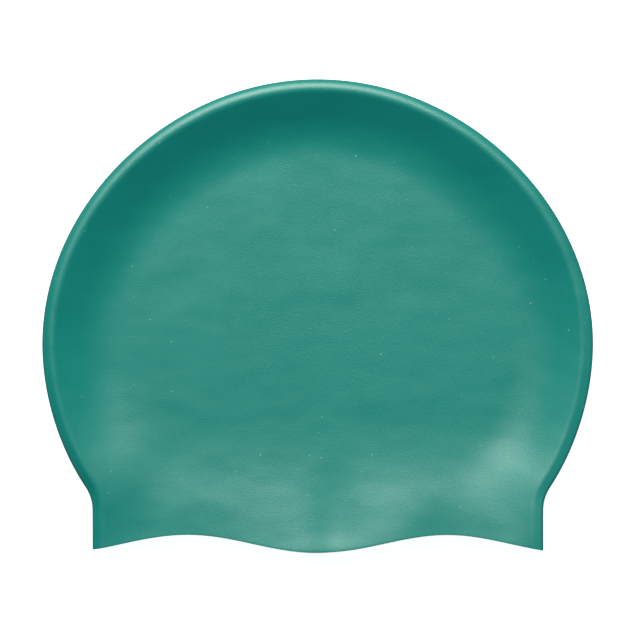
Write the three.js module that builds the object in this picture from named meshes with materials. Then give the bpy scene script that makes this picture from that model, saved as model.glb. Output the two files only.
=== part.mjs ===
// A moulded silicone swim cap, empty and lying flat, as one thin-walled shell that is open at the mouth.
//
// Millimetres, +Z up. +Y runs from the mouth to the crown and +X across the mouth. The back layer lies
// flat on the floor, at Z = 0, and the origin is on the floor under the middle of the cap. The front
// layer is held up all round by the stiff rounded rim. Inside the rim it slopes down to a sunken
// middle, and towards the mouth it comes up again and ends in a scalloped edge.
import * as THREE from "three";
import { mergeGeometries, mergeVertices } from "three/addons/utils/BufferGeometryUtils.js";

// The outline, seen from above
const CAP_WIDTH = 220; // across the widest line of the dome
const CAP_LENGTH = 189; // from the lowest point of the mouth's edge to the crown
const MOUTH_WIDTH = 180; // across the mouth and the straight neck
const NECK_LENGTH = 22; // from the lowest point of the mouth's edge to the bend under the dome
const WIDEST_AT = 83.5; // from the lowest point of the mouth's edge to the widest line
const NECK_ROUND = 5; // how far the bend's round reaches each way from its corner
const FLARE_ANGLE = 34; // degrees that the side leans out, just above the neck
const FLARE_STRAIGHT = 0.615; // share of the flare's reach sideways over which the side holds that lean
const WIDEST_PULL = 22; // how stiffly the side holds its direction below the widest line
const DOME_FULLNESS = 0.533; // share of each half axis that the dome's curve holds; 0.552 is an ellipse
const ARCH_RISE = 7; // how far the edge rises over each ear
const ARCH_SPACING = 104; // from the top of one ear's arch to the other's

// The heights and the wall
const WALL = 0.8; // thickness of the silicone
const RIM_HEIGHT = 17; // crest of the rim over the floor, round the dome
const MOUTH_HEIGHT = 15.8; // crest of the rim over the floor at the mouth, its gaping corner left out
const MOUTH_LEAN = 1.2; // how far that is more at the right corner and less at the left one
const MOUTH_SAG = 2; // how far the front's edge hangs lower between the corners
const MIDDLE_HEIGHT = 8; // outside of the sunken middle over the floor
const MIDDLE_LEAN = 0.4; // how far the middle stands higher at the right and lower at the left
const ROLL_WIDTH = 4; // from the outline in to the rim's crest, which is also the crest's radius
const UPRIGHT_POWER = 14; // how close to the outline the side turns upright
const UPRIGHT_ROOT = 4; // how steeply it does
const CREST_ROUND = 1.8; // from the crest to where the inner slope runs straight
const SLOPE_RUN = 8.5; // straight part of the inner slope
const FOOT_RUN = 17; // where the slope dies out in the sunken middle
const RAMP_RUN = 39; // the rise to the mouth, from the mouth's lowest point, were it straight
const RAMP_ROUND = 15.6; // how far the round at the rise's foot reaches each way

// The flat strip that takes the place of the rim's round low on each side. side is the direction along
// X and tilt the strip's slope in degrees. bend is how far its bend into the crest reaches, as a share
// of the roll. full and gone are how far up it is whole and ends, as shares of the cap's length.
const STRIPS = [
  { name: "left", side: -1, tilt: 28, bend: 0.25, full: 0.29, gone: 0.6 },
  { name: "right", side: 1, tilt: 6, bend: 0.15, full: 0.47, gone: 0.87 },
];

// Soft swells and dents of the front. across and along place the middle, from the centre line and from
// the mouth, and wide and long are the reach to each side: across and wide are shares of half the
// cap's width, along and long are shares of its length, and lift is a share of the middle's sinking.
// One that runs out keeps its height from its middle down to the mouth.
const SWELLS = [
  { name: "nape_tip", across: 0.03, along: 0, wide: 0.22, long: 0.05, lift: 0.05, runsOut: true },
  { name: "nape_left", across: -0.11, along: 0.03, wide: 0.22, long: 0.14, lift: 0.03, runsOut: true },
  { name: "nape_right", across: 0.27, along: 0.04, wide: 0.22, long: 0.14, lift: 0.07, runsOut: true },
  { name: "valley", across: 0.06, along: 0.1, wide: 0.13, long: 0.13, lift: -0.1, runsOut: false },
  { name: "arch_left", across: -0.45, along: 0.01, wide: 0.27, long: 0.12, lift: -0.12, runsOut: true },
  { name: "arch_right", across: 0.49, along: 0.01, wide: 0.24, long: 0.11, lift: -0.13, runsOut: true },
  { name: "cheek_left", across: -0.73, along: 0.2, wide: 0.24, long: 0.18, lift: 0.17, runsOut: false },
  { name: "cheek_right", across: 0.69, along: 0.11, wide: 0.27, long: 0.17, lift: 0.13, runsOut: true },
];

// The swell that lifts the rim too, where the mouth gapes at its right corner
const GAPE = { name: "gape", across: 0.85, along: -0.01, wide: 0.42, long: 0.28, lift: 0.36, runsOut: true };

// How finely the smooth surfaces are faceted
const DOME_COLUMNS = 60;
const LIP_COLUMNS = 22;
const ROLL_STEPS = 5;
const FLAT_ROWS = 4;

const MOUTH_Y = -CAP_LENGTH / 2;
const HALF_MOUTH = MOUTH_WIDTH / 2;
const HUB = new THREE.Vector2(0, MOUTH_Y + WIDEST_AT);
const HUB_REACH = CAP_LENGTH - WIDEST_AT;
const DROP_RUN = CREST_ROUND + SLOPE_RUN + FOOT_RUN;
const SINK = RIM_HEIGHT - MIDDLE_HEIGHT;

const { clamp, degToRad, lerp, smoothstep } = THREE.MathUtils;

// The mouth's scalloped edge: two arches over the ears, with a lobe between them.
function lipY(x) {
  return MOUTH_Y + (ARCH_RISE * (1 - Math.cos((2 * Math.PI * x) / ARCH_SPACING))) / 2;
}

// The right side of the outline, from the mouth's corner up the neck and the flare to the crown.
function rightSide() {
  const half = CAP_WIDTH / 2;
  const neckY = MOUTH_Y + NECK_LENGTH;
  const lean = degToRad(FLARE_ANGLE);
  const flarePull = (FLARE_STRAIGHT * (half - HALF_MOUTH)) / Math.sin(lean);
  const along = (distance) => [HALF_MOUTH + distance * Math.sin(lean), neckY + distance * Math.cos(lean)];
  const side = new THREE.Path();
  side.moveTo(HALF_MOUTH, lipY(HALF_MOUTH));
  side.lineTo(HALF_MOUTH, neckY - NECK_ROUND);
  side.quadraticCurveTo(HALF_MOUTH, neckY, ...along(NECK_ROUND));
  side.bezierCurveTo(...along(flarePull), half, HUB.y - WIDEST_PULL, half, HUB.y);
  side.bezierCurveTo(half, HUB.y + DOME_FULLNESS * HUB_REACH, DOME_FULLNESS * half, -MOUTH_Y, 0, -MOUTH_Y);
  return side.getSpacedPoints(DOME_COLUMNS / 2);
}

// The whole outline but the mouth's edge, from the right corner over the crown to the left corner.
function domeLine() {
  const right = rightSide();
  const left = right.slice(0, -1).reverse().map((p) => new THREE.Vector2(-p.x, p.y));
  return [...right, ...left];
}

// How far in from the outline the steps up the rim's roll lie, from the outline to the crest.
function rollSteps() {
  const quarter = Math.PI / 2;
  const step = (_, i) => ROLL_WIDTH * (1 - Math.cos((quarter * i) / ROLL_STEPS));
  return Array.from({ length: ROLL_STEPS + 1 }, step);
}

// The mouth's edge from the left corner to the right one, without the corners. The columns lie close
// together across the rolls, so that the cut end of the rim is round.
function lipLine() {
  const inRoll = rollSteps().slice(1).map((depth) => HALF_MOUTH - depth);
  const crest = HALF_MOUTH - ROLL_WIDTH;
  const shares = Array.from({ length: LIP_COLUMNS - 1 }, (_, i) => (i + 1) / LIP_COLUMNS);
  const between = shares.map((share) => lerp(-crest, crest, share));
  const across = [...inRoll.map((x) => -x), ...between, ...inRoll.reverse()];
  return across.map((x) => new THREE.Vector2(x, lipY(x)));
}

const DOME_LINE = domeLine();
const RING = [...DOME_LINE, ...lipLine()];

// The distance from a point of the plan to the outline, the mouth's edge left out.
function depthOf(point) {
  const nearest = new THREE.Vector3();
  const target = new THREE.Vector3(point.x, point.y, 0);
  let least = Infinity;
  for (let i = 1; i < DOME_LINE.length; i += 1) {
    const [a, b] = [DOME_LINE[i - 1], DOME_LINE[i]].map((p) => new THREE.Vector3(p.x, p.y, 0));
    new THREE.Line3(a, b).closestPointToPoint(target, true, nearest);
    least = Math.min(least, nearest.distanceTo(target));
  }
  return least;
}

// How much one swell lifts the front at a point: a smooth mound that ends at its reach.
function swellLift(swell, point) {
  const across = ((2 * point.x) / CAP_WIDTH - swell.across) / swell.wide;
  const up = ((point.y - MOUTH_Y) / CAP_LENGTH - swell.along) / swell.long;
  const along = swell.runsOut ? Math.max(up, 0) : up;
  return swell.lift * SINK * (1 - smoothstep(Math.hypot(across, along), 0, 1));
}

// Height of the rim's crest at the mouth, which gapes at its right corner.
function lipHeight(point) {
  return MOUTH_HEIGHT + (MOUTH_LEAN * point.x) / HALF_MOUTH + swellLift(GAPE, point);
}

// Half the height of the rim's crest, which is the height of the outline itself.
function sideHeight(point) {
  return lerp(lipHeight(point), RIM_HEIGHT, smoothstep(point.y, MOUTH_Y, HUB.y)) / 2;
}

// How far the round rim has fallen, at a distance out from its crest.
function crestFall(outward) {
  return ROLL_WIDTH - Math.sqrt(ROLL_WIDTH ** 2 - outward ** 2);
}

// How far the front's side has fallen from its crest: round over the dome, a flat strip lower down.
function frontFall(point, outward) {
  const round = crestFall(outward);
  const strip = STRIPS.find(({ side }) => side * point.x >= 0);
  const bend = strip.bend * ROLL_WIDTH;
  const flat = Math.tan(degToRad(strip.tilt)) * (Math.hypot(outward, bend) - bend);
  const up = (point.y - MOUTH_Y) / CAP_LENGTH;
  return lerp(flat, round, smoothstep(up, strip.full, strip.gone));
}

// The rise of the side above or below the outline, where it stands upright.
function sideRise(outward, half, fall) {
  const upright = (1 - (outward / ROLL_WIDTH) ** UPRIGHT_POWER) ** (1 / UPRIGHT_ROOT);
  return (half - fall) * upright;
}

// Share of the drop from the crest to the sunken middle: the slope sets in over the crest's round,
// runs straight, and dies out over the foot.
function dropShare(depth) {
  const inward = depth - ROLL_WIDTH;
  const round = clamp(inward, 0, CREST_ROUND);
  const straight = clamp(inward - CREST_ROUND, 0, SLOPE_RUN);
  const foot = clamp(inward - CREST_ROUND - SLOPE_RUN, 0, FOOT_RUN);
  const fallen = round ** 2 / (2 * CREST_ROUND) + straight + foot - foot ** 2 / (2 * FOOT_RUN);
  return fallen / (CREST_ROUND / 2 + SLOPE_RUN + FOOT_RUN / 2);
}

// Share of the rise from the sunken middle to the mouth: straight, with a round where it sets in.
function rampShare(point) {
  const up = point.y - MOUTH_Y;
  const left = clamp(RAMP_RUN + RAMP_ROUND - up, 0, 2 * RAMP_ROUND);
  const straight = Math.max(RAMP_RUN - RAMP_ROUND - up, 0);
  return (straight + left ** 2 / (4 * RAMP_ROUND)) / RAMP_RUN;
}

// Height of the front's outside over the floor.
function frontHeight(point) {
  const depth = depthOf(point);
  const half = sideHeight(point);
  const outward = clamp(ROLL_WIDTH - depth, 0, ROLL_WIDTH);
  const bed = MIDDLE_HEIGHT + (MIDDLE_LEAN * 2 * point.x) / CAP_WIDTH;
  const inner = lerp(bed, lipHeight(point) - MOUTH_SAG, rampShare(point));
  const swells = SWELLS.reduce((sum, swell) => sum + swellLift(swell, point), 0);
  const drop = (2 * half - inner - swells) * dropShare(depth);
  return half + sideRise(outward, half, frontFall(point, outward)) - drop;
}

// Height of the back's outside over the floor, which is none inside the roll.
function backHeight(point) {
  const half = sideHeight(point);
  const outward = clamp(ROLL_WIDTH - depthOf(point), 0, ROLL_WIDTH);
  return half - sideRise(outward, half, crestFall(outward));
}

// One layer of the cap: rings that follow the outline and shrink towards the hub, each at its depth.
function layer(depths, heightOf, facesUp) {
  const columns = RING.length;
  const positions = [];
  const addPoint = (point) => positions.push(point.x, point.y, heightOf(point));
  for (const depth of depths) {
    RING.forEach((point) => addPoint(point.clone().lerp(HUB, depth / HUB_REACH)));
  }
  addPoint(HUB);
  const hub = depths.length * columns;
  const index = [];
  const addFace = (a, b, c) => index.push(...(facesUp ? [a, b, c] : [a, c, b]));
  for (let row = 0; row < depths.length; row += 1) {
    for (let column = 0; column < columns; column += 1) {
      const [a, b] = [column, (column + 1) % columns].map((at) => row * columns + at);
      if (row === depths.length - 1) {
        addFace(a, b, hub);
      } else {
        addFace(a, b, b + columns);
        addFace(a, b + columns, a + columns);
      }
    }
  }
  const made = new THREE.BufferGeometry();
  made.setAttribute("position", new THREE.Float32BufferAttribute(positions, 3));
  return made.setIndex(index);
}

// The outside of the cap: the front and the back, joined all round but at the mouth.
function outerSkin() {
  const roll = rollSteps();
  const rest = (HUB_REACH - ROLL_WIDTH - DROP_RUN) / (FLAT_ROWS + 1);
  const slope = [0, 1 / 2, 1].map((share) => CREST_ROUND + share * SLOPE_RUN);
  const foot = [1 / 3, 2 / 3, 1].map((share) => CREST_ROUND + SLOPE_RUN + share * FOOT_RUN);
  const flat = Array.from({ length: FLAT_ROWS }, (_, i) => DROP_RUN + (i + 1) * rest);
  const front = [...slope, ...foot, ...flat].map((inward) => ROLL_WIDTH + inward);
  const back = [DROP_RUN, DROP_RUN + 2 * rest].map((inward) => ROLL_WIDTH + inward);
  const upper = layer([...roll, ...front], frontHeight, true);
  const lower = layer([...roll, ...back], backHeight, false);
  const skin = mergeVertices(mergeGeometries([upper, lower]));
  skin.computeVertexNormals();
  return skin;
}

// Thickens an open skin inwards into a closed wall, with the skin as its outside.
function thicken(skin, wall) {
  const { position, normal } = skin.attributes;
  const count = position.count;
  const inner = Float32Array.from(position.array, (value, i) => value - wall * normal.array[i]);
  const outerFaces = Array.from(skin.index.array);
  const index = [...outerFaces];
  const edges = new Map();
  for (let i = 0; i < outerFaces.length; i += 3) {
    const corners = outerFaces.slice(i, i + 3);
    index.push(...corners.map((vertex) => vertex + count).reverse());
    corners.forEach((from, k) => edges.set(`${from} ${corners[(k + 1) % 3]}`, [from, corners[(k + 1) % 3]]));
  }
  for (const [from, to] of edges.values()) {
    if (!edges.has(`${to} ${from}`)) {
      index.push(to, from, from + count, to, from + count, to + count);
    }
  }
  const shell = new THREE.BufferGeometry();
  shell.setAttribute("position", new THREE.Float32BufferAttribute([...position.array, ...inner], 3));
  shell.setIndex(index);
  shell.computeVertexNormals();
  return shell;
}

const silicone = new THREE.MeshStandardMaterial({ color: 0x1b857b, roughness: 0.5, metalness: 0 });

const capShell = new THREE.Mesh(thicken(outerSkin(), WALL), silicone);
capShell.name = "cap_shell";

const swimCap = new THREE.Group();
swimCap.add(capShell);

export default swimCap;
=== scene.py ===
"""The looks of a moulded silicone swim cap that lies empty and flat on a pale floor.

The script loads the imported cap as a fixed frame, builds a fine shell in its place, dresses it in
satin silicone, and sets up the floor, the soft light and the camera, which looks straight down.
Every length is in metres. +Y runs from the mouth to the crown, +X across the mouth, and +Z up.
"""

from __future__ import annotations

import logging
import math
from dataclasses import dataclass, field
from enum import Enum
from typing import ClassVar

import bmesh
import bpy
import numpy as np
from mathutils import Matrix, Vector

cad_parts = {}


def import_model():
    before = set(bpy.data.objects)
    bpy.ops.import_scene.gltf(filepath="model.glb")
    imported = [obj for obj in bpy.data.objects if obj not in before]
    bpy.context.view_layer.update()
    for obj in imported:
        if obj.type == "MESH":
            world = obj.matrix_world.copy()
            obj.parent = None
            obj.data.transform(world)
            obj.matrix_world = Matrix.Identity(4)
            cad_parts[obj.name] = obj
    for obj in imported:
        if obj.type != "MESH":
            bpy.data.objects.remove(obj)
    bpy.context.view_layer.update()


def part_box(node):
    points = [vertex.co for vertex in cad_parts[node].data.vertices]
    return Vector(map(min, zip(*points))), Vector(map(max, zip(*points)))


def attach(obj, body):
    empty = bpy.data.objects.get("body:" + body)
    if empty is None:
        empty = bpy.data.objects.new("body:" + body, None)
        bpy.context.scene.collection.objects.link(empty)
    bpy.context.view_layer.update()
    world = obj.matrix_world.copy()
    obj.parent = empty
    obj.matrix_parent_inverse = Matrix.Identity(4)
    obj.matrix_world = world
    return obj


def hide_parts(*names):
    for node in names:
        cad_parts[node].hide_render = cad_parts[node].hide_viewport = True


LOG = logging.getLogger("swim_cap")

MM = 0.001
CAD_NODE = "cap_shell"

Color = tuple[float, float, float]


class Layer(Enum):
    """The two layers of the flat cap."""

    FRONT = "front"
    BACK = "back"


class Facing(Enum):
    """Which side of the wall a finish belongs to."""

    OUTSIDE = "outside"
    INSIDE = "inside"


def ease(value: np.ndarray, low: float | np.ndarray, high: float | np.ndarray) -> np.ndarray:
    """Give the smooth share of the way from low to high.

    Args:
        value: The values to place.
        low: Where the share starts to leave 0.
        high: Where the share reaches 1.

    Returns:
        Shares from 0 to 1, flat at both ends.
    """
    share = np.clip((value - low) / (high - low), 0.0, 1.0)
    return share * share * (3.0 - 2.0 * share)


def deselect_all() -> None:
    """Clear the selection, which the loaded frame leaves full."""
    if bpy.context.object and bpy.context.object.mode != "OBJECT":
        bpy.ops.object.mode_set(mode="OBJECT")
    bpy.ops.object.select_all(action="DESELECT")


def make_active(piece: bpy.types.Object) -> None:
    """Select one piece alone and make it the active one.

    Args:
        piece: The object to work on.
    """
    deselect_all()
    piece.select_set(True)
    bpy.context.view_layer.objects.active = piece


@dataclass
class CapOutline:
    """The cap's outline from above: the dome, the flare, the straight neck and the mouth's edge.

    The width and the length come from the frame, and the rest are the cap's own sizes.
    """

    width: float
    length: float
    mouth_width: float = 180.0 * MM
    neck_length: float = 22.0 * MM
    widest_at: float = 83.5 * MM
    neck_round: float = 5.0 * MM
    flare_angle: float = math.radians(34.0)
    flare_pull: float = 22.0 * MM
    dome_fullness: float = 0.533
    arch_rise: float = 7.0 * MM
    arch_spacing: float = 104.0 * MM
    curve_steps: int = 400

    @property
    def mouth_y(self) -> float:
        """The lowest point of the mouth's edge."""
        return -self.length / 2.0

    @property
    def neck_y(self) -> float:
        """Where the straight neck ends and the flare begins."""
        return self.mouth_y + self.neck_length

    @property
    def hub_y(self) -> float:
        """The height of the widest line."""
        return self.mouth_y + self.widest_at

    def lip_y(self, across: np.ndarray) -> np.ndarray:
        """Give the mouth's scalloped edge: an arch over each ear and a lobe between them."""
        wave = np.cos(2.0 * math.pi * across / self.arch_spacing)
        return self.mouth_y + self.arch_rise * (1.0 - wave) / 2.0

    def _bezier(self, corners: list[tuple[float, float]]) -> np.ndarray:
        """Sample a quadratic or cubic curve through its control points.

        Args:
            corners: Three or four control points.

        Returns:
            Points along the curve, the first one left out.
        """
        share = np.linspace(0.0, 1.0, self.curve_steps + 1)[1:, None]
        points = [np.array(corner)[None, :] for corner in corners]
        while len(points) > 1:
            points = [a * (1.0 - share) + b * share for a, b in zip(points, points[1:])]
        return points[0]

    def _right_side(self) -> np.ndarray:
        """Draw the right side, from the mouth's corner up to the crown.

        Returns:
            Rows of x and y.
        """
        half, half_mouth = self.width / 2.0, self.mouth_width / 2.0
        corner_y = float(self.lip_y(np.array(half_mouth)))
        lean = (math.sin(self.flare_angle), math.cos(self.flare_angle))

        def along(distance: float) -> tuple[float, float]:
            """Give the point that far up the flare's first direction."""
            return half_mouth + distance * lean[0], self.neck_y + distance * lean[1]

        bend = (half_mouth, self.neck_y - self.neck_round)
        rounded = self._bezier([bend, (half_mouth, self.neck_y), along(self.neck_round)])
        widest = (half, self.hub_y)
        below = (half, self.hub_y - self.flare_pull)
        flare = self._bezier([along(self.neck_round), along(self.flare_pull), below, widest])
        reach = self.length / 2.0 - self.hub_y
        above = (half, self.hub_y + self.dome_fullness * reach)
        beside = (self.dome_fullness * half, self.length / 2.0)
        dome = self._bezier([widest, above, beside, (0.0, self.length / 2.0)])
        neck = np.linspace((half_mouth, corner_y), bend, self.curve_steps)
        return np.vstack([neck, rounded, flare, dome])

    def line(self, columns: int) -> np.ndarray:
        """Place points at even steps along the outline, from the left corner to the right one.

        Args:
            columns: How many steps there are.

        Returns:
            One row of x and y for each of the columns + 1 points.
        """
        right = self._right_side()
        left = right * np.array([-1.0, 1.0])
        whole = np.vstack([left, right[::-1][1:]])
        run = np.concatenate([[0.0], np.cumsum(np.linalg.norm(np.diff(whole, axis=0), axis=1))])
        places = np.linspace(0.0, run[-1], columns + 1)
        return np.stack([np.interp(places, run, whole[:, axis]) for axis in (0, 1)], axis=1)

    def depth(self, points: np.ndarray) -> np.ndarray:
        """Measure how far each point lies in from the outline, the mouth's edge left out.

        Args:
            points: Rows of x and y.

        Returns:
            The shortest distance from each point to the outline.
        """
        line = self.line(self.curve_steps)
        start, step = line[:-1], np.diff(line, axis=0)
        square = (step**2).sum(axis=1)
        least = np.full(len(points), np.inf)
        for a, d, s in zip(start, step, square):
            share = np.clip(((points - a) @ d) / s, 0.0, 1.0)
            gap = np.linalg.norm(points - a - share[:, None] * d, axis=1)
            least = np.minimum(least, gap)
        return least


@dataclass(frozen=True)
class Swell:
    """A soft swell or dent of the front layer, in millimetres.

    across and up place its middle: the distance to the right of the middle line and up from the
    mouth. wide and long are its reach to each side, and lift is its height. One that runs out keeps
    its height down to the mouth's edge.
    """

    across: float
    up: float
    wide: float
    long: float
    lift: float
    runs_out: bool = False

    def height(self, points: np.ndarray, outline: CapOutline) -> np.ndarray:
        """Give how much the swell lifts the front at each point.

        Args:
            points: Rows of x and y, in metres.
            outline: The outline, which says where the mouth is.

        Returns:
            Heights in metres, from the whole lift in the middle to none at the reach.
        """
        across = (points[:, 0] - self.across * MM) / (self.wide * MM)
        along = (points[:, 1] - outline.mouth_y - self.up * MM) / (self.long * MM)
        if self.runs_out:
            along = np.maximum(along, 0.0)
        return self.lift * MM * (1.0 - ease(np.hypot(across, along), 0.0, 1.0))


def cap_swells() -> dict[str, Swell]:
    """List the swells and dents of the front as it lies.

    Returns:
        The swells by name.
    """
    return {
        "nape_tip": Swell(4.0, 0.0, 24.0, 9.0, 0.7, runs_out=True),
        "nape_left": Swell(-12.0, 6.0, 24.0, 26.0, 0.3, runs_out=True),
        "nape_right": Swell(30.0, 8.0, 24.0, 27.0, 0.6, runs_out=True),
        "valley": Swell(7.0, 10.0, 14.0, 34.0, -1.4, runs_out=True),
        "arch_left": Swell(-50.0, 2.0, 30.0, 22.0, -1.1, runs_out=True),
        "arch_right": Swell(54.0, 2.0, 26.0, 22.0, -1.4, runs_out=True),
        "cheek_left": Swell(-80.0, 38.0, 26.0, 34.0, 1.5),
        "cheek_right": Swell(78.0, 20.0, 28.0, 34.0, 1.4, runs_out=True),
    }


@dataclass(frozen=True)
class Strip:
    """The flat strip that the low rim has along its edge, in place of the round.

    It slopes out and down by its tilt, bends into the crest, and fades into the round rim higher up.
    """

    tilt: float
    bend: float
    fades_from: float
    fades_to: float

    def share(self, up: np.ndarray) -> np.ndarray:
        """Give how far the strip takes the round's place, 1 beside the mouth."""
        return 1.0 - ease(up, self.fades_from, self.fades_to)

    def fall(self, outward: np.ndarray) -> np.ndarray:
        """Give how far the strip has fallen at a distance out from the crest."""
        return math.tan(self.tilt) * (np.hypot(outward, self.bend) - self.bend)


@dataclass
class CapRelief:
    """The heights of the cap's two layers over the floor.

    The front has an upright side, a crest that is round or has a flat strip, an inner slope, the sunken
    middle, and a ramp from there to the mouth. ramp_round is a share of the ramp's run. Swells and dents
    shape the front inside the rim, and the gape lifts a corner of the mouth, and the rim with it.
    """

    outline: CapOutline
    rim_height: float = 17.0 * MM
    mouth_height: float = 15.8 * MM
    mouth_lean: float = 1.2 * MM
    mouth_sag: float = 2.0 * MM
    middle_height: float = 8.0 * MM
    middle_lean: float = 0.4 * MM
    roll_width: float = 4.0 * MM
    wall_power: float = 14.0
    wall_root: float = 4.0
    left_strip: Strip = Strip(math.radians(28.0), bend=1.0 * MM, fades_from=-40.0 * MM, fades_to=20.0 * MM)
    right_strip: Strip = Strip(math.radians(9.0), bend=0.45 * MM, fades_from=-5.0 * MM, fades_to=70.0 * MM)
    crest_round: float = 1.8 * MM
    slope_run: float = 8.5 * MM
    foot_run: float = 17.0 * MM
    ramp_run: float = 39.0 * MM
    ramp_round: float = 0.4
    crease_at: float = 7.0 * MM
    crease_width: float = 2.5 * MM
    crease_depth: float = 0.12 * MM
    swells: dict[str, Swell] = field(default_factory=cap_swells)
    gape: Swell = Swell(94.0, -2.0, 46.0, 53.0, 3.2, runs_out=True)

    def lip_height(self, points: np.ndarray) -> np.ndarray:
        """Give the height of the rim's crest at the mouth, which gapes at the right corner."""
        lean = self.mouth_lean * points[:, 0] / (self.outline.mouth_width / 2.0)
        return self.mouth_height + lean + self.gape.height(points, self.outline)

    def side_height(self, points: np.ndarray) -> np.ndarray:
        """Give the height of the outline, which is half the height of the rim's crest.

        Args:
            points: Rows of x and y.

        Returns:
            Heights over the floor.
        """
        lip = self.lip_height(points)
        share = ease(points[:, 1], self.outline.mouth_y, self.outline.hub_y)
        return (lip + (self.rim_height - lip) * share) / 2.0

    def crest_fall(self, outward: np.ndarray) -> np.ndarray:
        """Give how far the round rim has fallen at a distance out from its crest."""
        return self.roll_width - np.sqrt(self.roll_width**2 - outward**2)

    def side_rise(self, outward: np.ndarray, half: np.ndarray, fall: np.ndarray) -> np.ndarray:
        """Give the rise of the side over or under the outline.

        Args:
            outward: How far out from the crest.
            half: The rise at the crest.
            fall: How far the rim has fallen from its crest, the upright side left out.

        Returns:
            The rise, which drops steeply to none at the outline.
        """
        upright = (1.0 - (outward / self.roll_width) ** self.wall_power) ** (1.0 / self.wall_root)
        return (half - fall) * upright

    def drop_share(self, depth: np.ndarray) -> np.ndarray:
        """Give the share of the drop from the crest down to the sunken middle.

        Args:
            depth: The distances in from the outline.

        Returns:
            Shares from 0 at the crest to 1 in the middle.
        """
        inward = depth - self.roll_width
        crest = np.clip(inward, 0.0, self.crest_round)
        straight = np.clip(inward - self.crest_round, 0.0, self.slope_run)
        foot = np.clip(inward - self.crest_round - self.slope_run, 0.0, self.foot_run)
        fallen = crest**2 / (2.0 * self.crest_round) + straight + foot - foot**2 / (2.0 * self.foot_run)
        return fallen / (self.crest_round / 2.0 + self.slope_run + self.foot_run / 2.0)

    def ramp(self, points: np.ndarray) -> np.ndarray:
        """Give the share of the rise from the sunken middle to the mouth.

        Args:
            points: Rows of x and y.

        Returns:
            Shares from 0 in the middle to 1 at the mouth's lowest point, with a round at the foot.
        """
        share = (points[:, 1] - self.outline.mouth_y) / self.ramp_run
        bend = self.ramp_round
        rounded = (1.0 + bend - np.clip(share, 1.0 - bend, 1.0 + bend)) ** 2 / (4.0 * bend)
        return np.where(share < 1.0 - bend, 1.0 - share, rounded)

    def crease(self, points: np.ndarray) -> np.ndarray:
        """Give the faint fold line that runs down the middle of the front.

        Args:
            points: Rows of x and y.

        Returns:
            Heights to add, which are 0 or less.
        """
        off = (points[:, 0] - self.crease_at) / self.crease_width
        fade = ease(points[:, 1], self.outline.neck_y, self.outline.hub_y)
        return -self.crease_depth * fade / (1.0 + off**2)

    def front(self, points: np.ndarray, depth: np.ndarray) -> np.ndarray:
        """Give the height of the front's outside at each point.

        Args:
            points: Rows of x and y.
            depth: Their distances in from the outline.

        Returns:
            Heights over the floor.
        """
        half = self.side_height(points)
        outward = np.clip(self.roll_width - depth, 0.0, self.roll_width)
        fall = self.crest_fall(outward)
        on_left = points[:, 0] < 0.0
        for strip, side in ((self.left_strip, on_left), (self.right_strip, ~on_left)):
            flat = strip.share(points[:, 1]) * side
            fall = fall + (strip.fall(outward) - fall) * flat
        lean = self.middle_lean * points[:, 0] / (self.outline.width / 2.0)
        bed = self.middle_height + lean
        floor = bed + (self.lip_height(points) - self.mouth_sag - bed) * self.ramp(points)
        drop = 2.0 * half - floor
        swelling = sum(swell.height(points, self.outline) for swell in self.swells.values())
        soft = swelling + self.crease(points)
        return half + self.side_rise(outward, half, fall) - (drop - soft) * self.drop_share(depth)

    def back(self, points: np.ndarray, depth: np.ndarray) -> np.ndarray:
        """Give the height of the back's outside at each point.

        Args:
            points: Rows of x and y.
            depth: Their distances in from the outline.

        Returns:
            Heights over the floor, which are none inside the roll.
        """
        half = self.side_height(points)
        outward = np.clip(self.roll_width - depth, 0.0, self.roll_width)
        return half - self.side_rise(outward, half, self.crest_fall(outward))


def noise_node(tree: bpy.types.NodeTree, detail: float, roughness: float) -> bpy.types.Node:
    """Add a noise texture with blotches of about one unit of its vector.

    Args:
        tree: The node tree to add to.
        detail: How many finer octaves there are.
        roughness: How strong the finer octaves are.

    Returns:
        The texture node, without its vector.
    """
    node = tree.nodes.new("ShaderNodeTexNoise")
    node.inputs["Scale"].default_value = 1.0
    node.inputs["Detail"].default_value = detail
    node.inputs["Roughness"].default_value = roughness
    return node


def math_node(tree: bpy.types.NodeTree, operation: str, *values: object) -> bpy.types.NodeSocket:
    """Add a math node and connect or set its inputs.

    Args:
        tree: The node tree to add to.
        operation: The node's operation.
        *values: A socket or a number for each input.

    Returns:
        The node's output socket.
    """
    node = tree.nodes.new("ShaderNodeMath")
    node.operation = operation
    for slot, value in zip(node.inputs, values):
        if isinstance(value, bpy.types.NodeSocket):
            tree.links.new(value, slot)
        else:
            slot.default_value = value
    return node.outputs[0]


def new_group(
    name: str, inputs: dict[str, float], outputs: list[str]
) -> tuple[bpy.types.NodeTree, bpy.types.Node, bpy.types.Node]:
    """Make a shader node group with a vector input and named number sockets.

    Args:
        name: The group's name.
        inputs: Input names with their usual values.
        outputs: Output names, all numbers.

    Returns:
        The group, its input node and its output node.
    """
    tree = bpy.data.node_groups.new(name, "ShaderNodeTree")
    tree.interface.new_socket("Vector", in_out="INPUT", socket_type="NodeSocketVector")
    for label, value in inputs.items():
        socket = tree.interface.new_socket(label, in_out="INPUT", socket_type="NodeSocketFloat")
        socket.default_value = value
    for label in outputs:
        tree.interface.new_socket(label, in_out="OUTPUT", socket_type="NodeSocketFloat")
    return tree, tree.nodes.new("NodeGroupInput"), tree.nodes.new("NodeGroupOutput")


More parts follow.
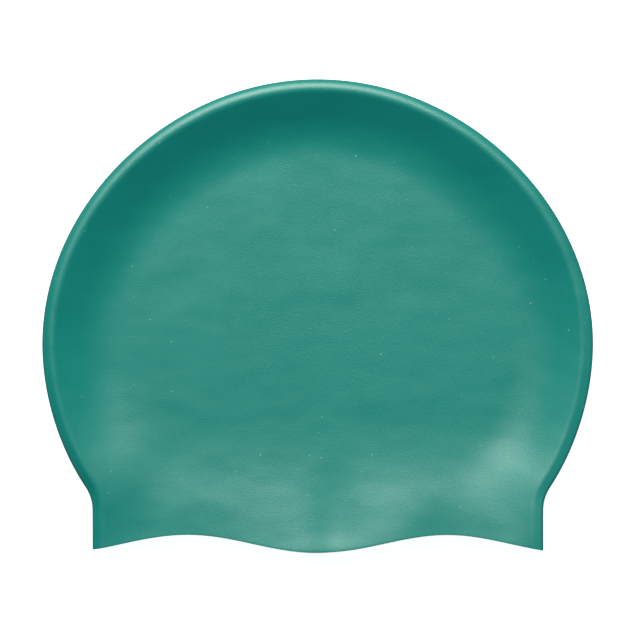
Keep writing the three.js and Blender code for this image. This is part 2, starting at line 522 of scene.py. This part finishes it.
class DustSpecks:
    """Node group: tiny specks of dust or lint, thinly strewn.

    usual holds the inputs' usual values, and smallest is a share of the largest speck's radius.
    """

    name: ClassVar[str] = "dust_specks"
    usual: ClassVar[dict[str, float]] = {"Spacing": 5.0 * MM, "Radius": 0.25 * MM, "Share": 0.5}
    smallest: ClassVar[float] = 0.3

    @classmethod
    def build(cls) -> bpy.types.NodeTree:
        """Build the group once.

        Returns:
            The group, whose Mask is 1 on a speck and 0 between the specks.
        """
        if cls.name in bpy.data.node_groups:
            return bpy.data.node_groups[cls.name]
        tree, source, result = new_group(cls.name, cls.usual, ["Mask"])
        cells = tree.nodes.new("ShaderNodeTexVoronoi")
        cells.feature = "F1"
        tree.links.new(source.outputs["Vector"], cells.inputs["Vector"])
        tree.links.new(math_node(tree, "DIVIDE", 1.0, source.outputs["Spacing"]), cells.inputs["Scale"])
        split = tree.nodes.new("ShaderNodeSeparateColor")
        tree.links.new(cells.outputs["Color"], split.inputs["Color"])
        kept = math_node(tree, "LESS_THAN", split.outputs["Red"], source.outputs["Share"])
        size = math_node(tree, "MULTIPLY_ADD", split.outputs["Green"], 1.0 - cls.smallest, cls.smallest)
        radius = math_node(tree, "MULTIPLY", source.outputs["Radius"], size)
        reach = math_node(tree, "DIVIDE", radius, source.outputs["Spacing"])
        near = math_node(tree, "DIVIDE", cells.outputs["Distance"], reach)
        soft = math_node(tree, "SUBTRACT", 1.0, near)
        soft.node.use_clamp = True
        tree.links.new(math_node(tree, "MULTIPLY", soft, kept), result.inputs["Mask"])
        return tree


class RubberGrain:
    """Node group: the fine skin of moulded rubber, its slow cloudiness and its soft ripples.

    usual holds the inputs' usual values. ripple is the ripples' size along x, y and z, and grain_share
    says how much of the fine grain the bump has.
    """

    name: ClassVar[str] = "rubber_grain"
    usual: ClassVar[dict[str, float]] = {"Grain Size": 0.6 * MM, "Cloud Size": 22.0 * MM}
    ripple: ClassVar[tuple[float, float, float]] = (21.0 * MM, 13.0 * MM, 21.0 * MM)
    grain_share: ClassVar[float] = 0.22

    @classmethod
    def build(cls) -> bpy.types.NodeTree:
        """Build the group once.

        Returns:
            The group, whose Grain is a fine value, Cloud a slow one and Height the bump's height: the
            ripples with a little grain on them.
        """
        if cls.name in bpy.data.node_groups:
            return bpy.data.node_groups[cls.name]
        tree, source, result = new_group(cls.name, cls.usual, ["Grain", "Cloud", "Height"])
        fine = noise_node(tree, detail=3.0, roughness=0.6)
        slow = noise_node(tree, detail=3.0, roughness=0.55)
        for node, label in ((fine, "Grain Size"), (slow, "Cloud Size")):
            tree.links.new(source.outputs["Vector"], node.inputs["Vector"])
            tree.links.new(math_node(tree, "DIVIDE", 1.0, source.outputs[label]), node.inputs["Scale"])
        tree.links.new(fine.outputs["Fac"], result.inputs["Grain"])
        tree.links.new(slow.outputs["Fac"], result.inputs["Cloud"])
        ripple = noise_node(tree, detail=1.0, roughness=0.4)
        stretch = tree.nodes.new("ShaderNodeVectorMath")
        stretch.operation = "MULTIPLY"
        stretch.inputs[1].default_value = [1.0 / size for size in cls.ripple]
        tree.links.new(source.outputs["Vector"], stretch.inputs[0])
        tree.links.new(stretch.outputs["Vector"], ripple.inputs["Vector"])
        height = math_node(tree, "MULTIPLY_ADD", fine.outputs["Fac"], cls.grain_share, ripple.outputs["Fac"])
        tree.links.new(height, result.inputs["Height"])
        return tree


@dataclass(frozen=True)
class SiliconeFinish:
    """Satin moulded silicone rubber, coloured all through, with specks of dust and lint on it.

    Both kinds of specks have the same radius. Gains and spreads are the whole width of a variation.
    """

    facing: Facing
    base: Color = (0.002, 0.262, 0.228)
    cloud_gain: float = 0.16
    grain_gain: float = 0.10
    roughness: float = 0.42
    roughness_spread: float = 0.08
    ior: float = 1.5
    specular: float = 1.0
    bump: float = 0.35 * MM
    bump_strength: float = 1.0
    dust_spacing: float = 5.0 * MM
    dust_radius: float = 0.45 * MM
    dust_share: float = 0.6
    dust_roughness: float = 0.4
    dust_color: Color = (0.45, 0.62, 0.55)
    lint_spacing: float = 15.5 * MM
    lint_share: float = 0.3
    lint_color: Color = (0.01, 0.05, 0.045)

    def material(self) -> bpy.types.Material:
        """Make the finish's material.

        Returns:
            The material, which reads Object coordinates.
        """
        made = bpy.data.materials.new(f"silicone_{self.facing.value}")
        made.use_nodes = True
        tree = made.node_tree
        shader = tree.nodes["Principled BSDF"]
        shader.inputs["Specular IOR Level"].default_value = self.specular
        shader.inputs["IOR"].default_value = self.ior
        place = tree.nodes.new("ShaderNodeTexCoord").outputs["Object"]
        grain = self._group(tree, RubberGrain.build(), place)
        color = self._tone(tree, grain)
        dust = self._specks(tree, place, self.dust_spacing, self.dust_share)
        lint = self._specks(tree, place, self.lint_spacing, self.lint_share)
        color = self._mix(tree, dust, color, self.dust_color)
        color = self._mix(tree, lint, color, self.lint_color)
        tree.links.new(color, shader.inputs["Base Color"])
        low = self.roughness - self.roughness_spread / 2.0
        satin = math_node(tree, "MULTIPLY_ADD", grain.outputs["Cloud"], self.roughness_spread, low)
        rough = math_node(tree, "MULTIPLY_ADD", dust, self.dust_roughness, satin)
        tree.links.new(rough, shader.inputs["Roughness"])
        bump = tree.nodes.new("ShaderNodeBump")
        bump.inputs["Strength"].default_value = self.bump_strength
        bump.inputs["Distance"].default_value = self.bump
        tree.links.new(grain.outputs["Height"], bump.inputs["Height"])
        tree.links.new(bump.outputs["Normal"], shader.inputs["Normal"])
        return made

    @staticmethod
    def _group(
        tree: bpy.types.NodeTree, group: bpy.types.NodeTree, place: bpy.types.NodeSocket
    ) -> bpy.types.Node:
        """Place a node group in the material.

        Args:
            tree: The material's node tree.
            group: The group to place.
            place: The coordinates for the group.

        Returns:
            The group's node.
        """
        node = tree.nodes.new("ShaderNodeGroup")
        node.node_tree = group
        tree.links.new(place, node.inputs["Vector"])
        return node

    def _tone(self, tree: bpy.types.NodeTree, grain: bpy.types.Node) -> bpy.types.NodeSocket:
        """Vary the base colour a little with the slow clouds and the fine grain.

        Args:
            tree: The material's node tree.
            grain: The node of the rubber's grain.

        Returns:
            The colour's socket.
        """
        gains = [
            math_node(tree, "MULTIPLY_ADD", grain.outputs[label], spread, 1.0 - spread / 2.0)
            for label, spread in (("Cloud", self.cloud_gain), ("Grain", self.grain_gain))
        ]
        gain = math_node(tree, "MULTIPLY", *gains)
        scale = tree.nodes.new("ShaderNodeVectorMath")
        scale.operation = "SCALE"
        scale.inputs[0].default_value = self.base
        tree.links.new(gain, scale.inputs["Scale"])
        return scale.outputs["Vector"]

    def _specks(
        self, tree: bpy.types.NodeTree, place: bpy.types.NodeSocket, spacing: float, share: float
    ) -> bpy.types.NodeSocket:
        """Strew specks of one kind.

        Args:
            tree: The material's node tree.
            place: The coordinates.
            spacing: How far apart the places for a speck lie.
            share: How many of the places have one.

        Returns:
            The specks' mask.
        """
        node = self._group(tree, DustSpecks.build(), place)
        node.inputs["Spacing"].default_value = spacing
        node.inputs["Radius"].default_value = self.dust_radius
        node.inputs["Share"].default_value = share
        return node.outputs["Mask"]

    @staticmethod
    def _mix(
        tree: bpy.types.NodeTree, mask: bpy.types.NodeSocket, under: bpy.types.NodeSocket, over: Color
    ) -> bpy.types.NodeSocket:
        """Lay a colour over another one.

        Args:
            tree: The material's node tree.
            mask: How much the upper colour hides the lower one.
            under: The lower colour.
            over: The upper colour.

        Returns:
            The mixed colour's socket.
        """
        node = tree.nodes.new("ShaderNodeMix")
        node.data_type = "RGBA"
        tree.links.new(mask, node.inputs["Factor"])
        tree.links.new(under, node.inputs["A"])
        node.inputs["B"].default_value = (*over, 1.0)
        return node.outputs["Result"]


@dataclass
class SwimCap:
    """The cap's shell: both layers, the rim between them and the open mouth.

    Rows of points follow the outline inwards. Through the rim's zone they keep their distance to it, and
    from there on they turn towards a middle line that ends at hub_top. turn_from is a share of the rim's
    zone, and turn_to a share of the way to that line.
    """

    outline: CapOutline
    relief: CapRelief
    wall: float = 0.8 * MM
    lip_round: float = 0.38 * MM
    lip_steps: int = 3
    lip_angle: float = math.radians(60.0)
    columns: int = 440
    hub_top: float = 44.0 * MM
    rim_zone: float = 8.0 * MM
    front_rows: int = 26
    back_rows: int = 5
    roll_rows: int = 18
    crest_rows: int = 12
    row_growth: float = 1.15
    turn_from: float = 0.9
    turn_to: float = 0.8
    same_place: float = 0.0001 * MM
    weld: float = 0.01 * MM
    smooth_angle: float = math.radians(50.0)

    def build(self) -> bpy.types.Object:
        """Model the shell.

        Returns:
            The finished piece, without a material.
        """
        piece = self._rim_line()
        self._extrude_layer(piece, Layer.FRONT)
        self._extrude_layer(piece, Layer.BACK)
        self._close_seams(piece)
        self._thicken(piece)
        self._round_lip(piece)
        make_active(piece)
        bpy.ops.object.shade_smooth_by_angle(angle=self.smooth_angle)
        piece.data.name = piece.name
        return piece

    def _rows(self, layer: Layer) -> list[tuple[float, float]]:
        """List the rows of a layer from the outline inwards.

        Args:
            layer: The layer to list.

        Returns:
            For each row, a depth in metres and a share of the rest of the way to the middle.
        """
        quarter = math.pi / 2.0
        roll = self.roll_rows if layer is Layer.FRONT else self.roll_rows // 2
        width = self.relief.roll_width
        rows = [(width * (1.0 - math.cos(quarter * i / roll)), 0.0) for i in range(roll + 1)]
        if layer is Layer.FRONT:
            step = (self.rim_zone - width) / self.crest_rows
            rows += [(width + step * (i + 1), 0.0) for i in range(self.crest_rows)]
            inner = self.front_rows
        else:
            rows += [(self.rim_zone, 0.0)]
            inner = self.back_rows
        rows += [(self.rim_zone, ((i + 1) / inner) ** self.row_growth) for i in range(inner)]
        return rows

    def _plan(self, row: tuple[float, float]) -> np.ndarray:
        """Place one row's points in plan, one for each column.

        Args:
            row: The row's depth and its share of the rest of the way to the middle.

        Returns:
            Rows of x and y.
        """
        line = self.outline.line(self.columns)
        along = np.gradient(line, axis=0)
        along /= np.linalg.norm(along, axis=1)[:, None]
        inward = np.stack([along[:, 1], -along[:, 0]], axis=1)
        neck_y = self.outline.neck_y
        crown_y = self.outline.length / 2.0
        in_dome = np.clip((line[:, 1] - neck_y) / (crown_y - neck_y), 0.0, 1.0)
        middle_y = np.where(line[:, 1] < neck_y, line[:, 1], neck_y + (self.hub_top - neck_y) * in_dome)
        middle = np.stack([np.zeros(len(line)), middle_y], axis=1)
        reach = np.linalg.norm(middle - line, axis=1)
        depth = row[0] + row[1] * (reach - self.rim_zone)
        straight = line + (middle - line) * (depth / reach)[:, None]
        offset = line + inward * depth[:, None]
        turn = ease(depth, self.rim_zone * self.turn_from, reach * self.turn_to)[:, None]
        points = offset * (1.0 - turn) + straight * turn
        corner_y = line[0, 1]
        near_lip = np.clip((neck_y - line[:, 1]) / (neck_y - corner_y), 0.0, 1.0)
        points[:, 1] += near_lip * (self.outline.lip_y(points[:, 0]) - corner_y)
        return points

    def _rim_line(self) -> bpy.types.Object:
        """Lay the outline as an open line of edges, cut out of a circle.

        Returns:
            The piece, whose points each know their column.
        """
        deselect_all()
        radius = self.outline.width / 2.0
        bpy.ops.mesh.primitive_circle_add(vertices=self.columns + 1, radius=radius, fill_type="NOTHING")
        piece = bpy.context.object
        piece.name = "silicone_cap"
        order = np.array([math.atan2(v.co.x, v.co.y) for v in piece.data.vertices])
        rank = np.argsort(np.argsort(order))
        points = self._plan((0.0, 0.0))
        heights = self.relief.side_height(points)
        mark = piece.data.attributes.new("column", "INT", "POINT")
        for vertex, column in zip(piece.data.vertices, rank):
            mark.data[vertex.index].value = int(column)
            vertex.co = (points[column, 0], points[column, 1], heights[column])
        bpy.ops.object.mode_set(mode="EDIT")
        bpy.ops.mesh.select_all(action="DESELECT")
        mesh = bmesh.from_edit_mesh(piece.data)
        tag = mesh.verts.layers.int["column"]
        for edge in mesh.edges:
            edge.select_set({vertex[tag] for vertex in edge.verts} == {0, self.columns})
        bmesh.update_edit_mesh(piece.data)
        bpy.ops.mesh.delete(type="EDGE")
        bpy.ops.object.mode_set(mode="OBJECT")
        return piece

    def _extrude_layer(self, piece: bpy.types.Object, layer: Layer) -> None:
        """Extrude the outline inwards, row after row, over one layer.

        Args:
            piece: The piece, which holds the outline's line of edges.
            layer: The layer to lay.
        """
        make_active(piece)
        bpy.ops.object.mode_set(mode="EDIT")
        bpy.ops.mesh.select_mode(type="EDGE")
        bpy.ops.mesh.select_all(action="DESELECT")
        mesh = bmesh.from_edit_mesh(piece.data)
        tag = mesh.verts.layers.int["column"]
        line = self._plan((0.0, 0.0))
        for edge in mesh.edges:
            ends = [(vertex.co.xy - Vector(line[vertex[tag]])).length for vertex in edge.verts]
            edge.select_set(max(ends) < self.same_place)
        bmesh.update_edit_mesh(piece.data)
        rows = self._rows(layer)
        for row in rows[1:]:
            bpy.ops.mesh.extrude_edges_move()
            self._place_row(piece, layer, row)
        bpy.ops.object.mode_set(mode="OBJECT")

    def _place_row(self, piece: bpy.types.Object, layer: Layer, row: tuple[float, float]) -> None:
        """Move a newly extruded row onto the surface.

        Args:
            piece: The piece in edit mode, with the new row selected.
            layer: The layer that the row lies on.
            row: The row's depth and its share of the rest of the way.
        """
        points = self._plan(row)
        depth = self.outline.depth(points)
        height_of = self.relief.front if layer is Layer.FRONT else self.relief.back
        heights = height_of(points, depth)
        mesh = bmesh.from_edit_mesh(piece.data)
        tag = mesh.verts.layers.int["column"]
        for vertex in mesh.verts:
            if vertex.select:
                column = vertex[tag]
                vertex.co = (points[column, 0], points[column, 1], heights[column])
        bmesh.update_edit_mesh(piece.data)

    def _close_seams(self, piece: bpy.types.Object) -> None:
        """Weld the two halves of each layer down the middle and face the skin outwards.

        Args:
            piece: The piece with both layers laid.
        """
        make_active(piece)
        bpy.ops.object.mode_set(mode="EDIT")
        bpy.ops.mesh.select_mode(type="VERT")
        bpy.ops.mesh.select_all(action="SELECT")
        bpy.ops.mesh.remove_doubles(threshold=self.weld)
        bpy.ops.mesh.normals_make_consistent(inside=False)
        bpy.ops.object.mode_set(mode="OBJECT")

    def _thicken(self, piece: bpy.types.Object) -> None:
        """Give the skin its wall, inwards.

        Args:
            piece: The piece with its outer skin closed.
        """
        make_active(piece)
        wall = piece.modifiers.new("wall", "SOLIDIFY")
        wall.thickness = self.wall
        wall.offset = -1.0
        wall.use_even_offset = True
        wall.material_offset = 1
        bpy.ops.object.modifier_apply(modifier=wall.name)

    def _round_lip(self, piece: bpy.types.Object) -> None:
        """Bevel the two sharp edges of the mouth's cut edge.

        Args:
            piece: The piece with its wall.
        """
        make_active(piece)
        bevel = piece.modifiers.new("lip", "BEVEL")
        bevel.width = self.lip_round
        bevel.segments = self.lip_steps
        bevel.limit_method = "ANGLE"
        bevel.angle_limit = self.lip_angle
        bpy.ops.object.modifier_apply(modifier=bevel.name)

    def dress(self, piece: bpy.types.Object) -> None:
        """Give the shell its finish outside and inside, and its place in the frame.

        Args:
            piece: The finished shell.
        """
        piece.data.materials.clear()
        for facing in Facing:
            piece.data.materials.append(SiliconeFinish(facing).material())
        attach(piece, "root")
        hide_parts(CAD_NODE)


@dataclass
class Studio:
    """The pale floor, the soft light and the camera over the cap.

    Levels of light are those that a white surface gets. wall_from and ceiling_from are heights of a
    direction, from 0 at the horizon to 1 straight up.
    """

    height: float
    view_width: float = 256.0 * MM
    view_center: tuple[float, float] = (1.0 * MM, -1.7 * MM)
    lens: float = 200.0
    sensor: float = 36.0
    view_reach: float = 20.0
    key_elevation: float = math.radians(47.0)
    key_turn: float = math.radians(9.0)
    key_distance: float = 2.0
    key_size: float = 1.5
    key_level: float = 1.345
    key_color: Color = (0.9, 0.985, 0.88)
    room_color: Color = (0.15, 1.0, 1.3)
    wall_level: float = 0.165
    wall_from: tuple[float, float] = (0.0, 0.25)
    ceiling_from: tuple[float, float] = (0.45, 0.85)
    room_level: float = 0.03
    floor_size: float = 6.0
    floor_gap: float = 0.02 * MM
    floor_bounce: float = 0.3
    floor_white: float = 0.9
    floor_roughness: float = 0.9
    floor_specular: float = 0.1
    floor_glow: float = 0.97

    def build(self) -> None:
        """Make the floor, the lights and the camera."""
        self._floor()
        self._key()
        self._fill()
        self._camera()
        bpy.context.scene.view_settings.view_transform = "Standard"

    def _floor(self) -> None:
        """Lay the floor just under the cap, white to the eye and grey to the cap."""
        deselect_all()
        bpy.ops.mesh.primitive_plane_add(size=self.floor_size, location=(0.0, 0.0, -self.floor_gap))
        floor = bpy.context.object
        floor.name = "floor"
        made = bpy.data.materials.new("pale_floor")
        made.use_nodes = True
        tree = made.node_tree
        seen = tree.nodes["Principled BSDF"]
        seen.inputs["Base Color"].default_value = (self.floor_white,) * 3 + (1.0,)
        seen.inputs["Roughness"].default_value = self.floor_roughness
        seen.inputs["Specular IOR Level"].default_value = self.floor_specular
        seen.inputs["Emission Color"].default_value = (1.0, 1.0, 1.0, 1.0)
        seen.inputs["Emission Strength"].default_value = self.floor_glow
        bounced = tree.nodes.new("ShaderNodeBsdfDiffuse")
        bounced.inputs["Color"].default_value = (self.floor_bounce,) * 3 + (1.0,)
        pick = tree.nodes.new("ShaderNodeMixShader")
        tree.links.new(tree.nodes.new("ShaderNodeLightPath").outputs["Is Camera Ray"], pick.inputs["Fac"])
        tree.links.new(bounced.outputs["BSDF"], pick.inputs[1])
        tree.links.new(seen.outputs["BSDF"], pick.inputs[2])
        tree.links.new(pick.outputs["Shader"], tree.nodes["Material Output"].inputs["Surface"])
        floor.data.materials.append(made)

    def _key(self) -> None:
        """Hang the large soft light beyond the crown, a little to the left and about half-way up."""
        level, turn = self.key_elevation, self.key_turn
        away = math.cos(level)
        toward = Vector((-math.sin(turn) * away, math.cos(turn) * away, math.sin(level)))
        deselect_all()
        bpy.ops.object.light_add(type="AREA", location=toward * self.key_distance)
        light = bpy.context.object
        light.name = "key_light"
        light.rotation_euler = toward.to_track_quat("Z", "Y").to_euler()
        light.data.shape = "SQUARE"
        light.data.size = self.key_size
        light.data.color = self.key_color
        light.data.energy = self.key_level * math.pi**2 * self.key_distance**2
        light.visible_camera = False

    def _fill(self) -> None:
        """Fill the room with cool light from its walls, which fades towards the ceiling."""
        world = bpy.data.worlds.new("room")
        bpy.context.scene.world = world
        world.use_nodes = True
        tree = world.node_tree
        background = tree.nodes["Background"]
        background.inputs["Color"].default_value = (*self.room_color, 1.0)
        direction = tree.nodes.new("ShaderNodeTexCoord").outputs["Generated"]
        split = tree.nodes.new("ShaderNodeSeparateXYZ")
        tree.links.new(direction, split.inputs["Vector"])
        rise = self._fade(tree, split.outputs["Z"], self.wall_from, 0.0, self.wall_level)
        fall = self._fade(tree, split.outputs["Z"], self.ceiling_from, 1.0, 0.0)
        level = math_node(tree, "MULTIPLY_ADD", rise, fall, self.room_level)
        tree.links.new(level, background.inputs["Strength"])

    @staticmethod
    def _fade(
        tree: bpy.types.NodeTree,
        height: bpy.types.NodeSocket,
        span: tuple[float, float],
        low: float,
        high: float,
    ) -> bpy.types.NodeSocket:
        """Fade smoothly from one level to another over a span of heights.

        Args:
            tree: The world's node tree.
            height: The height of the direction, from -1 straight down to 1 straight up.
            span: Where the fade starts and ends.
            low: The level below the span.
            high: The level above it.

        Returns:
            The level's socket.
        """
        node = tree.nodes.new("ShaderNodeMapRange")
        node.interpolation_type = "SMOOTHSTEP"
        tree.links.new(height, node.inputs["Value"])
        node.inputs["From Min"].default_value, node.inputs["From Max"].default_value = span
        node.inputs["To Min"].default_value = low
        node.inputs["To Max"].default_value = high
        return node.outputs["Result"]

    def _camera(self) -> None:
        """Look straight down on the cap from far above."""
        rise = self.view_width * self.lens / self.sensor
        place = (*self.view_center, self.height / 2.0 + rise)
        deselect_all()
        bpy.ops.object.camera_add(location=place, rotation=(0.0, 0.0, 0.0))
        camera = bpy.context.object
        camera.name = "camera"
        camera.data.lens = self.lens
        camera.data.sensor_width = self.sensor
        camera.data.clip_end = self.view_reach
        bpy.context.scene.camera = camera


def main() -> None:
    """Load the frame, build and dress the cap, and set up the studio."""
    logging.basicConfig(level=logging.INFO, format="%(name)s: %(message)s")
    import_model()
    low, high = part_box(CAD_NODE)
    outline = CapOutline(width=high.x - low.x, length=high.y - low.y)
    cap = SwimCap(outline, CapRelief(outline))
    shell = cap.build()
    cap.dress(shell)
    LOG.info("%s has %d faces", shell.name, len(shell.data.polygons))
    Studio(height=high.z - low.z).build()
    LOG.info("the floor, the lights and the camera are in place")


if __name__ == "__main__":
    main()
